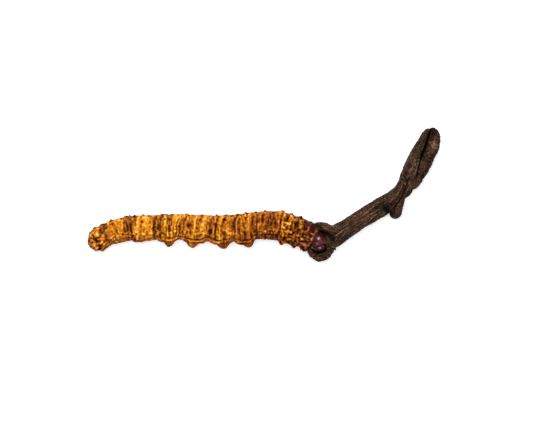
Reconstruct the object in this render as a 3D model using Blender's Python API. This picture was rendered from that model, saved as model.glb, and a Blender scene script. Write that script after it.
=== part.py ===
"""A dried cordyceps fungus, lying on its side as it is sold.

A ghost moth's larva was filled by a fungus and turned into a hard, ringed mummy. The fungus then sent a
dark stalk out behind the larva's head capsule. The stalk wraps the head in a collar, bends at an elbow and
ends in a club that has folded along its length.

Sizes are in millimetres here and become metres when a mesh is made. X runs from the tail towards the head,
Y from the belly towards the back, and Z up from the surface that the piece lies on.
"""

import math

import bpy
import numpy as np

METRES = 0.001
GAP = 0.3  # clear space between pieces that touch
PRESSED = 0.4  # how far the side that it lies on is flattened

# The larva: where its middle line runs, and how thick it is over the crests of its rings
BODY_X = (0.0, 1.6, 3.3, 5.2, 7.2, 9.6, 12.6, 16.4, 21.3, 25.4, 29.2, 31.5, 33.6, 35.6, 37.4, 39.3)
BODY_Y = (-2.3, -1.85, -1.2, -0.5, 0.0, 0.05, 0.25, 0.25, 0.0, 0.05, 0.45, 0.5, 0.35, -0.15, -0.75, -1.6)
BODY_RADIUS = (1.95, 2.15, 2.3, 2.25, 2.2, 2.25, 2.25, 2.25, 2.3, 2.35, 2.4, 2.5, 2.75, 2.72, 2.62, 2.35)
BODY_DEPTH_SHARE = 0.97  # side to side, against belly to back
TAIL_DOME = 2.2
NECK_ROOM = 4.0  # how far back from its front the body is kept clear of the fungus
FRONT_X = BODY_X[-1]

# Its segments, as each one's rear edge, tail first. Every segment has narrow rings behind a wide one.
SEGMENT_EDGES = (1.05, 2.45, 6.5, 11.65, 16.45, 21.45, 25.4, 28.95, 31.85, 33.7, 36.15, 37.8, FRONT_X)
FULL_SEGMENTS = (2.45, 6.5, 11.65, 16.45, 21.45, 25.4, 28.95)
FULL_RINGS = (0.0, 0.17, 0.33, 0.48)  # three narrow rings, then the wide one
SHORT_RINGS = (0.0, 0.5)
NARROW_CROWN, WIDE_CROWN = 0.2, 0.12
WIDE_DROP = 0.12  # the wide ring stands this much lower than the narrow ones
SEGMENT_FURROW, FURROW_WIDTH = 0.16, 0.28
NARROW_ROWS = (0.0, 0.25, 0.75)
WIDE_ROWS = (0.0, 0.12, 0.35, 0.6, 0.85)
BODY_COLUMNS = 24
BELLY_CROWDING = 0.35  # columns stand closer together at the belly, where the legs are

# Its legs, in pairs: place along the body, reach, half length of the foot, and spread to each side
LEG_SPREAD = math.radians(25)
FOOT_SHARE = 0.62  # the foot's width against that of the base that it stands on
LEGS = (
    (14.4, 1.25, 1.8, math.radians(34)),
    (18.6, 1.3, 1.9, math.radians(34)),
    (23.7, 1.3, 1.9, math.radians(34)),
    (27.7, 1.3, 1.6, math.radians(34)),
    (35.0, 0.4, 0.9, math.radians(28)),
    (37.1, 0.45, 0.9, math.radians(28)),
    (39.1, 0.6, 0.9, math.radians(28)),
)
TAIL_CLASPER = (1.7, 0.4, 1.3, math.radians(34))

# The head capsule
HEAD_CENTRE = (40.8, -2.4, 2.7)
HEAD_RADII = (1.45, 1.75, 1.6)
HEAD_LEAN = math.radians(-18)

# The collar: a ball around the head's far side, and a lobe of the fungus over the nape
COLLAR_CENTRE = (40.75, -3.5, 2.05)
COLLAR_RADII = (2.25, 2.28, 2.15)
NAPE_CENTRE = (41.3, 0.0, 2.3)
NAPE_RADII = (1.5, 1.2, 1.6)
NAPE_LEAN = math.radians(-16)

# The stalk, from inside the collar to the neck under the club, as points and radii across and up
STALK = (
    (41.4, -2.4, 2.1, 1.75, 1.7),
    (42.3, -1.85, 2.15, 1.75, 1.7),
    (43.2, -1.3, 2.2, 1.68, 1.65),
    (44.3, -0.6, 2.3, 1.62, 1.6),
    (45.5, 0.15, 2.4, 1.57, 1.55),
    (47.95, 1.75, 2.45, 1.57, 1.55),
    (49.9, 2.95, 2.35, 1.68, 1.55),
    (51.6, 3.98, 2.2, 1.68, 1.5),
    (52.7, 4.66, 2.1, 1.63, 1.45),
    (53.7, 5.3, 2.0, 1.55, 1.4),
    (54.45, 6.0, 1.9, 1.4, 1.35),
    (55.0, 6.8, 1.8, 1.28, 1.32),
    (55.5, 7.9, 1.7, 1.28, 1.32),
)
# The short stub below the elbow, where the stalk folded over itself
STUB = (
    (54.15, 1.65, 1.95, 0.7, 0.8),
    (54.1, 2.5, 2.0, 0.87, 0.95),
    (54.3, 3.6, 2.05, 0.95, 1.05),
    (54.6, 5.0, 2.0, 1.02, 1.15),
    (54.95, 6.4, 1.85, 1.08, 1.25),
    (55.3, 7.5, 1.7, 1.1, 1.3),
)
# The club's two lobes, folded against each other
LEFT_LOBE = (
    (54.7, 5.9, 1.8, 1.2, 1.3),
    (55.2, 7.0, 1.7, 1.26, 1.38),
    (55.6, 7.9, 1.6, 1.29, 1.45),
    (56.1, 9.3, 1.5, 1.3, 1.52),
    (56.65, 10.9, 1.45, 1.27, 1.57),
    (57.5, 13.0, 1.43, 1.12, 1.55),
    (58.2, 14.6, 1.4, 0.97, 1.45),
    (59.05, 16.2, 1.4, 0.72, 1.2),
    (59.85, 17.55, 1.4, 0.42, 0.85),
)
RIGHT_LOBE = (
    (57.0, 6.75, 1.65, 0.62, 0.9),
    (57.4, 7.9, 1.6, 0.78, 1.15),
    (58.15, 9.4, 1.52, 0.97, 1.45),
    (58.9, 10.9, 1.48, 1.12, 1.6),
    (59.7, 13.0, 1.45, 1.22, 1.62),
    (60.33, 14.6, 1.43, 1.25, 1.5),
    (60.6, 16.2, 1.4, 1.08, 1.25),
    (60.3, 17.75, 1.4, 0.6, 0.85),
)
NECK = (55.15, 7.0, 1.7)  # where the stalk ends and the club begins
NECK_HEADING = (0.4, 0.917, 0.0)
FLUTES, FLUTE_DEPTH = 7, 0.05  # the stalk's lengthwise wrinkles

STALK_COLUMNS, STALK_ROWS = 14, 24
STUB_COLUMNS, STUB_ROWS = 10, 9
LOBE_COLUMNS, LOBE_ROWS = 14, 15
BALL_COLUMNS, BALL_ROWS = 18, 11

COLOURS = {
    "larva_skin": ((0.60, 0.30, 0.07), 0.55),
    "head_chitin": ((0.10, 0.015, 0.018), 0.18),
    "stroma": ((0.085, 0.052, 0.034), 0.85),
}


def through(knots, values, at):
    """Smooth curve through hand-set values: cubic pieces whose slopes come from each value's neighbours."""
    knots, values = np.asarray(knots, float), np.asarray(values, float)
    slopes = np.gradient(values, knots, axis=0)
    i = np.clip(np.searchsorted(knots, at, side="right") - 1, 0, len(knots) - 2)
    span = knots[i + 1] - knots[i]
    t = (at - knots[i]) / span
    if values.ndim > 1:
        span, t = span[:, None], t[:, None]
    start = values[i] * (1 + 2 * t) + span * slopes[i] * t
    end = values[i + 1] * (3 - 2 * t) - span * slopes[i + 1] * (1 - t)
    return start * (1 - t) ** 2 + end * t**2


def bump(distance):
    """Smooth hump: 1 at distance 0, falling to 0 at distance 1 and flat beyond."""
    return np.clip(1 - distance**2, 0, 1) ** 2


def material(slot):
    colour, roughness = COLOURS[slot]
    made = bpy.data.materials.get(slot)
    if made is None:
        made = bpy.data.materials.new(slot)
        made.use_nodes = True
        shader = made.node_tree.nodes["Principled BSDF"]
        shader.inputs["Base Color"].default_value = (*colour, 1)
        shader.inputs["Roughness"].default_value = roughness
        shader.inputs["Metallic"].default_value = 0
        made.diffuse_color = (*colour, 1)
    return made


def closed_form(name, rings, tips, slot):
    """An object from rings of points (rows, columns, 3) and the two tips that close its ends."""
    rows, columns, _ = rings.shape
    points = np.vstack([rings.reshape(-1, 3), tips]) * METRES
    first_tip, last_tip = rows * columns, rows * columns + 1
    faces = []
    for c in range(columns):
        following = (c + 1) % columns
        for r in range(rows - 1):
            low, high = r * columns, (r + 1) * columns
            faces.append((low + c, low + following, high + following, high + c))
        faces.append((first_tip, following, c))
        top = (rows - 1) * columns
        faces.append((last_tip, top + c, top + following))
    mesh = bpy.data.meshes.new(name)
    mesh.from_pydata(points.tolist(), [], faces)
    mesh.shade_smooth()
    mesh.set_sharp_from_angle(angle=math.radians(50))
    mesh.materials.append(material(slot))
    made = bpy.data.objects.new(name, mesh)
    bpy.context.scene.collection.objects.link(made)
    return made


def swept(name, stations, rows, columns, slot, flutes=0.0):
    """A round-ended tube along stations of x, y, z, radius across and radius up, with lengthwise flutes."""
    stations = np.array(stations)
    steps = np.linalg.norm(np.diff(stations[:, :3], axis=0), axis=1)
    along = np.concatenate([[0], np.cumsum(steps)])
    at = along[-1] * (1 - np.cos(np.linspace(0, np.pi, rows + 2))) / 2
    lane = through(along, stations, at)
    centres, across, up = lane[:, :3], lane[:, 3], lane[:, 4]
    heading = np.gradient(centres, axis=0)
    side = np.cross([0.0, 0.0, 1.0], heading)
    side /= np.linalg.norm(side, axis=1)[:, None]
    end = np.minimum(at, at[-1] - at)
    rounding = np.sqrt(1 - (1 - np.minimum(end / across, 1)) ** 2)
    angle = np.arange(columns) * 2 * np.pi / columns
    swell = rounding[:, None] * (1 + flutes * np.cos(FLUTES * angle) / across[:, None])
    sideways = across[:, None] * swell * np.cos(angle)
    upwards = up[:, None] * swell * np.sin(angle)
    rings = centres[:, None] + sideways[..., None] * side[:, None]
    rings[..., 2] += upwards
    return closed_form(name, rings[1:-1], centres[[0, -1]], slot)


def ball(name, centre, radii, lean, slot):
    """An egg-shaped ball with its long way leaning in the XY plane."""
    across, along, up = radii
    polar = np.linspace(0, np.pi, BALL_ROWS + 2)[1:-1]
    angle = np.arange(BALL_COLUMNS) * 2 * np.pi / BALL_COLUMNS
    x = across * np.outer(np.sin(polar), np.cos(angle))
    z = up * np.outer(np.sin(polar), np.sin(angle))
    y = along * np.outer(np.cos(polar), np.ones(BALL_COLUMNS))
    rings = np.stack([x, y, z], axis=-1)
    tips = np.array([[0, along, 0], [0, -along, 0]], float)
    turn = np.array(
        [[math.cos(lean), math.sin(lean), 0], [-math.sin(lean), math.cos(lean), 0], [0, 0, 1]]
    )
    return closed_form(name, rings @ turn + centre, tips @ turn + centre, slot)


def ring_plan():
    """Edges of all the rings from tail to head, and which of them are the wide ones."""
    edges, wide = [0.0], [False]
    for rear, front in zip(SEGMENT_EDGES[:-1], SEGMENT_EDGES[1:]):
        full = rear in FULL_SEGMENTS
        shares = FULL_RINGS if full else SHORT_RINGS
        edges += [rear + share * (front - rear) for share in shares]
        wide += [full and share == FULL_RINGS[-1] for share in shares]
    return np.array([*edges, FRONT_X]), np.array(wide)


def ring_relief(x, edges, wide):
    """Depth below the crest at x: each ring is a low arch between two furrows, deeper between segments."""
    i = np.clip(np.searchsorted(edges, x, side="right") - 1, 0, len(wide) - 1)
    place = (x - edges[i]) / (edges[i + 1] - edges[i])
    arch = 1 - np.abs(2 * place - 1) ** 2.5
    relief = np.where(wide[i], WIDE_CROWN * (arch - 1) - WIDE_DROP, NARROW_CROWN * (arch - 1))
    for edge in SEGMENT_EDGES[:-1]:
        relief -= SEGMENT_FURROW * bump((x - edge) / FURROW_WIDTH / 2)
    return relief


def body_rows(edges, wide):
    """Places along the body that get a row of points: the furrow and crest of every ring."""
    rows = []
    for ring, is_wide in enumerate(wide):
        shares = WIDE_ROWS if is_wide else NARROW_ROWS
        rows += [edges[ring] + share * (edges[ring + 1] - edges[ring]) for share in shares]
    dome = TAIL_DOME * (1 - np.cos(np.radians([14, 30, 45])))
    return np.array([*dome, *(r for r in rows if r > dome[-1] + 0.1), FRONT_X])


def leg_reach(x, angle):
    """How far the legs push the skin towards the belly: a broad base with a narrower round foot on it."""
    reach = np.zeros_like(angle + x)
    for place, height, half_length, half_angle in (*LEGS, TAIL_CLASPER):
        for side in (np.pi - LEG_SPREAD, np.pi + LEG_SPREAD):
            away = np.hypot((x - place) / half_length, (angle - side) / half_angle)
            foot = np.sqrt(bump(away / FOOT_SHARE))
            reach = np.maximum(reach, height * (0.45 * bump(away) + 0.55 * foot))
    return reach


def body_rings(x, angle, thickness, reach=0.0, swell=1.0):
    """Rings of skin at x around the body's middle line, with its centres and headings there."""
    y = through(BODY_X, BODY_Y, x)
    radius = through(BODY_X, BODY_RADIUS, x)
    depth = radius * BODY_DEPTH_SHARE
    centres = np.stack([x, y, depth - PRESSED], axis=1)
    heading = np.gradient(centres, x, axis=0) * [1, 1, 0]
    heading /= np.linalg.norm(heading, axis=1)[:, None]
    back = np.cross([0.0, 0.0, 1.0], heading)
    backwards = swell * ((radius[:, None] + thickness) * np.cos(angle) - reach)
    rings = centres[:, None] + backwards[..., None] * back[:, None]
    rings[..., 2] += swell * (depth[:, None] + thickness) * np.sin(angle)
    return rings, centres, heading


def larva():
    edges, wide = ring_plan()
    x = body_rows(edges, wide)
    even = np.arange(BODY_COLUMNS) * 2 * np.pi / BODY_COLUMNS
    angle = even + BELLY_CROWDING * np.sin(even)  # 0 at the back, half a turn at the belly
    relief = ring_relief(x, edges, wide)[:, None]
    reach = leg_reach(x[:, None], angle[None, :])
    dome = np.sqrt(1 - (1 - np.minimum(x / TAIL_DOME, 1)) ** 2)[:, None]
    rings, centres, _ = body_rings(x, angle, relief, reach, dome)
    rings[..., 2] = np.maximum(rings[..., 2], 0)  # pressed flat where it lay
    closed_form("larva_body", rings, [centres[0] - [x[0], 0, 0], centres[-1]], "larva_skin")


def room_for_body():
    """The front of the body grown by the gap, to cut out of the fungus that wraps it."""
    x = np.linspace(FRONT_X - NECK_ROOM, FRONT_X, 5)
    angle = np.arange(BODY_COLUMNS) * 2 * np.pi / BODY_COLUMNS
    rings, centres, heading = body_rings(x, angle, GAP)
    rings[-1] += GAP * heading[-1]
    return closed_form("room_for_body", rings, [centres[0], centres[-1] + GAP * heading[-1]], "stroma")


def guide(made):
    """Hides a form that only cuts or joins another."""
    made.hide_render = True
    made.display_type = "WIRE"
    return made


def combine(target, operation, other):
    step = target.modifiers.new(f"{operation.lower()} {other.name}", "BOOLEAN")
    step.operation = operation
    step.solver = "EXACT"
    step.object = guide(other)


def half_space(name, point, heading):
    """A large block that fills everything ahead of a point along a heading in the XY plane, or below it."""
    reach = 2 * FRONT_X
    heading = np.asarray(heading, float) / np.linalg.norm(heading)
    sideways = np.cross(heading, [0.0, 0.0, 1.0] if abs(heading[2]) < 0.5 else [0.0, 1.0, 0.0])
    upwards = np.cross(sideways, heading)
    corners = [
        np.asarray(point) + reach * (ahead * heading + right * sideways + above * upwards)
        for ahead in (0, 1)
        for right, above in ((-1, -1), (1, -1), (1, 1), (-1, 1))
    ]
    faces = [(0, 1, 2, 3), (4, 7, 6, 5), (0, 4, 5, 1), (1, 5, 6, 2), (2, 6, 7, 3), (3, 7, 4, 0)]
    mesh = bpy.data.meshes.new(name)
    mesh.from_pydata((np.array(corners) * METRES).tolist(), [], faces)
    made = bpy.data.objects.new(name, mesh)
    bpy.context.scene.collection.objects.link(made)
    return guide(made)


def stalk(ground):
    """The stroma up to the neck: stalk, collar, nape lobe and stub, with the head's pocket cut out."""
    made = swept("stroma_stalk", STALK, STALK_ROWS, STALK_COLUMNS, "stroma", FLUTE_DEPTH)
    combine(made, "UNION", ball("collar", COLLAR_CENTRE, COLLAR_RADII, 0.0, "stroma"))
    combine(made, "UNION", ball("nape_lobe", NAPE_CENTRE, NAPE_RADII, NAPE_LEAN, "stroma"))
    combine(made, "UNION", swept("stub", STUB, STUB_ROWS, STUB_COLUMNS, "stroma"))
    pocket_radii = [r + GAP for r in HEAD_RADII]
    combine(made, "DIFFERENCE", ball("head_pocket", HEAD_CENTRE, pocket_radii, HEAD_LEAN, "stroma"))
    combine(made, "DIFFERENCE", room_for_body())
    combine(made, "DIFFERENCE", half_space("past_the_neck", NECK, NECK_HEADING))
    combine(made, "DIFFERENCE", ground)


def club(ground):
    """The folded club above the neck: two lobes grown together, with a furrow between them."""
    made = swept("stroma_club", LEFT_LOBE, LOBE_ROWS, LOBE_COLUMNS, "stroma")
    combine(made, "UNION", swept("right_lobe", RIGHT_LOBE, LOBE_ROWS, LOBE_COLUMNS, "stroma"))
    unit = np.array(NECK_HEADING) / np.linalg.norm(NECK_HEADING)
    above = np.array(NECK) + GAP * unit
    combine(made, "DIFFERENCE", half_space("below_the_neck", above, -unit))
    combine(made, "DIFFERENCE", ground)


def stand_on_origin():
    """Moves every mesh so that the origin is under the middle of the whole object."""
    bpy.context.view_layer.update()
    graph = bpy.context.evaluated_depsgraph_get()
    shown = [o for o in bpy.data.objects if not o.hide_render]
    corners = np.array([c for o in shown for c in o.evaluated_get(graph).bound_box])
    low, high = corners.min(axis=0), corners.max(axis=0)
    for made in bpy.data.objects:
        made.location = (-(low[0] + high[0]) / 2, -(low[1] + high[1]) / 2, 0)


def main():
    for old in list(bpy.data.objects):
        bpy.data.objects.remove(old)
    larva()
    ball("head_capsule", HEAD_CENTRE, HEAD_RADII, HEAD_LEAN, "head_chitin")
    ground = half_space("ground", (0.0, 0.0, 0.0), (0.0, 0.0, -1.0))
    stalk(ground)
    club(ground)
    stand_on_origin()


main()
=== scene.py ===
import math

import bpy
import numpy as np
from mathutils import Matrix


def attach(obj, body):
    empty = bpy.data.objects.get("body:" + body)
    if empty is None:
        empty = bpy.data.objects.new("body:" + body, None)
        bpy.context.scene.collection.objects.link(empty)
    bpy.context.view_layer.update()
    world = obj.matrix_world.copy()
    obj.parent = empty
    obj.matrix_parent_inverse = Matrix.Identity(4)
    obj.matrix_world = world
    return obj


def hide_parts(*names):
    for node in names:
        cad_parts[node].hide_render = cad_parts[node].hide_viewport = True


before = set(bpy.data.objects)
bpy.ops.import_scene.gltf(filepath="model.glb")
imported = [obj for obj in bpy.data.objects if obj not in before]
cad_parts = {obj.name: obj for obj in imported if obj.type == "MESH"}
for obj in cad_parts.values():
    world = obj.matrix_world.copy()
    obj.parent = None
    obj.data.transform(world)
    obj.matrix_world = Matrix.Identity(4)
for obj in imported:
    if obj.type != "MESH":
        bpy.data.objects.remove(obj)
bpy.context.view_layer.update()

# The table, the lights and the camera.
# One dried cordyceps lies on a white sheet that glows faintly, under large soft lamps. The camera hangs over
# it on a long lens and looks straight down: the picture's right is the row frame's +X and its top is +Y.
METRES = 0.001  # sizes in this file are in mm
PICTURE_WIDTH = 533 * 0.175  # the picture's pixels, at the size of one of them on the piece
PICTURE_CENTRE = (0.44, -3.33)  # the point of the surface that the camera hangs over
LENS, SENSOR = 100, 36
FOCUS_HEIGHT = 2.2  # height at which the picture has its stated scale, where the outline is widest
PAPER = "FDFDFD"
PAPER_HALF_SIZE, PAPER_GLOW = 400, 0.3
SKY_STRENGTH = 0.29


def linear(colour):
    """The linear colour of an sRGB hex value: c/12.92 in the dark part, else ((c + 0.055)/1.055)^2.4."""
    srgb = np.array([int(colour[i : i + 2], 16) / 255 for i in (0, 2, 4)])
    straight = np.where(srgb <= 0.04045, srgb / 12.92, ((srgb + 0.055) / 1.055) ** 2.4)
    return (*straight.tolist(), 1.0)


def add(tree, kind, values=None, wires=None, stops=None, **settings):
    """A shader node of a kind, with its settings, its sockets' values, what feeds them and a ramp's stops."""
    made = tree.nodes.new("ShaderNode" + kind)
    for name, value in settings.items():
        setattr(made, name, value)
    for socket, value in (values or {}).items():
        made.inputs[socket].default_value = value
    for socket, source in (wires or {}).items():
        tree.links.new(source, made.inputs[socket])
    for i, (place, colour) in enumerate(stops or ()):
        while len(made.color_ramp.elements) <= i:
            made.color_ramp.elements.new(place)
        made.color_ramp.elements[i].position = place
        made.color_ramp.elements[i].color = linear(colour)
    return made


def new_material(name):
    """A named material with its empty node tree and its output node."""
    made = bpy.data.materials.new(name)
    made.use_nodes = True
    made.node_tree.nodes.clear()
    return made, made.node_tree, add(made.node_tree, "OutputMaterial")


# Plain matt paper. It glows a little, so that it stays white under lamps soft enough for the piece.
white_paper, tree, out = new_material("white_paper")
surface = add(
    tree, "BsdfPrincipled",
    {
        "Base Color": linear(PAPER), "Roughness": 0.9,
        "Emission Color": linear(PAPER), "Emission Strength": PAPER_GLOW,
    },
)
tree.links.new(surface.outputs[0], out.inputs["Surface"])
scene = bpy.context.scene
half = PAPER_HALF_SIZE * METRES
sheet_mesh = bpy.data.meshes.new("white_sheet")
corners = [(-half, -half, 0), (half, -half, 0), (half, half, 0), (-half, half, 0)]
sheet_mesh.from_pydata(corners, [], [(0, 1, 2, 3)])
sheet_mesh.materials.append(white_paper)
sheet = bpy.data.objects.new("white_sheet", sheet_mesh)
scene.collection.objects.link(sheet)

# Each soft box is an ellipse: its place, width and height in mm, and power in watts. All face the piece.
SOFT_LAMPS = {
    "lamp_over_back": ((-30, 200, 230), 135, 88, 0.68),
    "lamp_over_belly": ((60, -230, 170), 76, 60, 0.24),
    "lamp_overhead": ((-20, 20, 400), 260, 260, 0.76),
}
for name, (place, width, height, power) in SOFT_LAMPS.items():
    lamp = bpy.data.lights.new(name, "AREA")
    lamp.shape = "ELLIPSE"
    lamp.size, lamp.size_y, lamp.energy = width * METRES, height * METRES, power
    holder = bpy.data.objects.new(name, lamp)
    holder.location = np.array(place) * METRES
    holder.rotation_euler = holder.location.to_track_quat("Z", "Y").to_euler()
    scene.collection.objects.link(holder)

sky = bpy.data.worlds.new("studio_white")
sky.use_nodes = True
background = sky.node_tree.nodes["Background"]
background.inputs["Color"].default_value = (1, 1, 1, 1)
background.inputs["Strength"].default_value = SKY_STRENGTH
scene.world = sky
scene.view_settings.view_transform = "Standard"

camera = bpy.data.cameras.new("camera")
camera.lens, camera.sensor_width = LENS, SENSOR
camera.clip_start, camera.clip_end = 0.01, 5
camera_holder = bpy.data.objects.new("camera", camera)
camera_height = FOCUS_HEIGHT + PICTURE_WIDTH * LENS / SENSOR
camera_holder.location = np.array([*PICTURE_CENTRE, camera_height]) * METRES
scene.collection.objects.link(camera_holder)
scene.camera = camera_holder


# The larva's husk.
# A ghost moth's larva whose inside turned to hard fungus, and whose skin dried on it in rings. It is golden
# and smooth on each segment's wide ring, dull on the narrow rings and dark brown in the folds between them.
ORIGIN = np.array([30.88, 5.99, 0.0])  # the row frame's origin, from the tail's tip and the middle line
# Places along the body, the middle line's Y there, and the radius from belly to back
BODY_X, BODY_Y, BODY_RADIUS = np.transpose((
    (0, -2.82, 1.74), (1.6, -2.1, 2.02), (3.3, -1.03, 1.97), (5.2, -0.44, 2.08), (7.2, 0.02, 2.2),
    (9.6, 0.05, 2.25), (12.6, 0.25, 2.23), (16.4, 0.25, 2.25), (21.3, 0, 2.3), (25.4, 0.05, 2.33),
    (29.2, 0.47, 2.4), (31.5, 0.6, 2.48), (33.6, 0.55, 2.6), (35.6, -0.05, 2.57), (37.4, -0.65, 2.5),
    (39.3, -1.55, 2.3), (40.8, -2.2, 1.75),
))
BODY_DEPTH_SHARE = 0.97  # side to side, against belly to back
PRESSED = 0.4  # how far the side that it lies on is flattened
TAIL_DOME, NAPE_DOME = 2.2, 1.3  # lengths over which the ends are drawn in
FRONT_X = 40.4  # the skin ends here, under the head shell and the fungus
# How far the rings curve forward at the back, at places along the body: most at the folds between segments.
# Up to the change they curve only near the back, and from there on they lean as a whole.
LEAN_CHANGE = 35
RING_LEAN = (
    (0, 0), (5, 0), (6.6, 0.5), (7.6, 0.6), (9, 0), (11, 0), (11.8, 0.3), (13.6, 0.2), (15, 0.4),
    (16.3, 1.2), (17.2, 1), (18.7, 0.5), (20, 0.3), (21.3, 0.9), (22.5, 0.9), (24, 0.4), (25.7, 1.3),
    (26.5, 1.1), (27.5, 0.7), (29.3, 0.6), (31, 0.4), (32, 0.6), (33.5, 0), (35.5, 0), (37.2, -0.7),
    (38.3, -0.2), (38.9, 0.2),
)

# The rings by kind: each kind's height over the body's radius, the height of its fine wrinkles and of its
# pebbles, how light its colour is and how streaked it is, and its rings' middle lines in mm from the tail
RINGS = {
    "lumpy": ((0, 0.02, 0.14, 0.66, 0.05), (1.1,)),
    "deep": ((-0.13, 0.05, 0.04, 0.23, 0.12), (
        7.25, 7.48, 7.92, 8.12, 11.82, 12.02, 12.72, 12.9, 22.47, 25.62, 25.8, 28.87, 31.9, 32.75, 35.3,
        35.85, 36.15, 36.5, 37.18, 37.75, 37.93, 38.08, 39.56,
    )),
    "fold": ((-0.1, 0.07, 0.04, 0.35, 0.18), (
        3.15, 3.5, 6.75, 7.68, 12.48, 14.5, 16.85, 21.42, 25.45, 26.5, 29.65, 31.7, 32.1, 32.25, 32.5,
        33.65, 34.25, 34.6, 36.8, 38.25,
    )),
    "rib": ((-0.04, 0.06, 0.05, 0.47, 0.16), (
        8.35, 12.26, 13.05, 13.85, 14.7, 15.75, 16.27, 17.6, 21.65, 22.05, 22.3, 26.3, 26.8, 27.7, 28.65,
        29.35, 29.5, 31.5, 33, 33.35, 37, 37.4, 37.57, 39.2,
    )),
    "dull": ((0, 0.05, 0.05, 0.54, 0.12), (
        1.6, 2.75, 3.9, 4.35, 6.95, 8.6, 13.3, 13.48, 14.15, 15.2, 18.1, 19.2, 19.5, 21.1, 22.75, 23.6,
        24, 24.95, 25.2, 27.4, 30.5, 30.7, 31.25, 33.15, 39.4,
    )),
    "warm": ((0.03, 0.04, 0.05, 0.61, 0.09), (
        0.6, 2, 2.4, 5.1, 6.1, 6.45, 9.1, 9.7, 11, 11.5, 16.55, 18.95, 20.8, 23, 23.42, 24.35, 24.65,
        27, 27.2, 28.35, 29.15, 29.95, 30.2, 31, 34, 34.95, 35.6,
    )),
    "gold": ((0.05, 0.03, 0.05, 0.71, 0.06), (
        4.15, 4.6, 5.6, 13.66, 14.9, 15.5, 16, 17.15, 18.5, 20.5, 23.17, 26.1, 28,
    )),
    "yellow": ((0.04, 0.03, 0.05, 0.76, 0.05), (10.2, 10.6, 20)),
    "rim": ((0.09, 0.02, 0.04, 0.84, 0.03), (8.87, 18.72)),
    "plate": ((-0.02, 0.01, 0.04, 0.3, 0.05), (38.42, 39)),
}
RING_WANDER = 0.11  # how far a ring's edge strays along the body
SKIN_ROWS, DOME_ROWS, SKIN_COLUMNS = 555, 40, 164
CRUMPLED_X, TAIL_CRUMPLE_END = (33, 39), 4  # the skin is crumpled behind the head and at the tail
BROWN_FROM = 28.8  # the skin is browner from here to the head
FLANK_MIDDLE, FLANK_HALF_WIDTH = 115, 24  # degrees from the back of the lumpy strip over the belly fold
FOLD_HALF_WIDTH = 0.16  # of the crease along the belly fold
# Heights on the skin: slow sags, pebbles, creases, grit, short strokes, the rims under the belly fold (also
# its depth), and the knobs of crumpled skin at the tail and elsewhere
SAG, PEBBLE, CREASE, GRIT, STROKE, RIM = 0.05, 0.06, 0.06, 0.018, 0.03, 0.08
TAIL_KNOBS_END, TAIL_KNOB, KNOB = 5, 0.1, 0.15
# The dark plates behind the head: their place and half length, the degrees from the back of the seams between
# them and of their end, the seams' half width, and the place of the stain behind them
PLATE_X, PLATE_HALF_LENGTH, PLATE_SEAMS, PLATE_END, SEAM_HALF_WIDTH = 38.72, 0.47, (36, 77, 97, 109), 122, 4
STAIN_X = 37.65
CHALKY_FROM = 36.5  # from here on the skin turns dull and chalky
# Four pairs of belly legs, three of front legs, the tail claspers and a low swelling, all leaning out from
# the belly line: where the foot and the broad base under it are along the body, their reach, the base's half
# length and half angle, and its share of the reach
LEG_SPREAD = math.radians(25)  # between a leg and the belly line
FOOT_SHARE = 0.52  # the foot's size, as a share of its base's
LEGS = (
    (14.3, 13.9, 1.4, 1.95, 36, 0.42), (18.5, 18.8, 1.42, 2.15, 36, 0.42),
    (23.75, 23.3, 1.4, 2.15, 36, 0.42), (27.95, 27.3, 1.5, 1.95, 38, 0.6),
    (34.85, 34.8, 0.75, 0.9, 40, 0.5), (37.05, 36.95, 0.68, 0.9, 40, 0.5), (39, 39, 0.6, 0.9, 34, 0.85),
    (1.2, 1.2, 0.15, 0.9, 34, 0.6), (8.8, 8.8, 0.25, 1.1, 40, 1),
)
# Degrees from the back at which the rings stop and the belly begins, at places along the body
BELLY_FOLD = (
    (0, 138), (5, 137), (7.6, 139), (9.2, 147), (11.5, 140), (13, 134), (28, 133), (33, 129), (40, 126),
)
# How russet the skin is, and how much painted shade darkens the low flank, at places along the body
BRUISING = (
    (0, 0.35), (5, 0.1), (10, 0), (20, 0.15), (26, 0.35), (30, 0.75), (33, 0.75), (36, 0.5), (40.8, 0.8),
)
FLANK_SHADE = (
    (0, 0.05), (7, 0.04), (9.5, 0.08), (12, 0.03), (14, -0.04), (16.5, 0.05), (19.5, 0.12), (21.9, 0.05),
    (24, 0.2), (25.9, 0.05), (27.7, 0.42), (29, 0.1), (30.5, 0.2), (32.2, 0.16), (35, 0.08), (37.2, -0.12),
    (38.8, 0.2),
)
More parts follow.
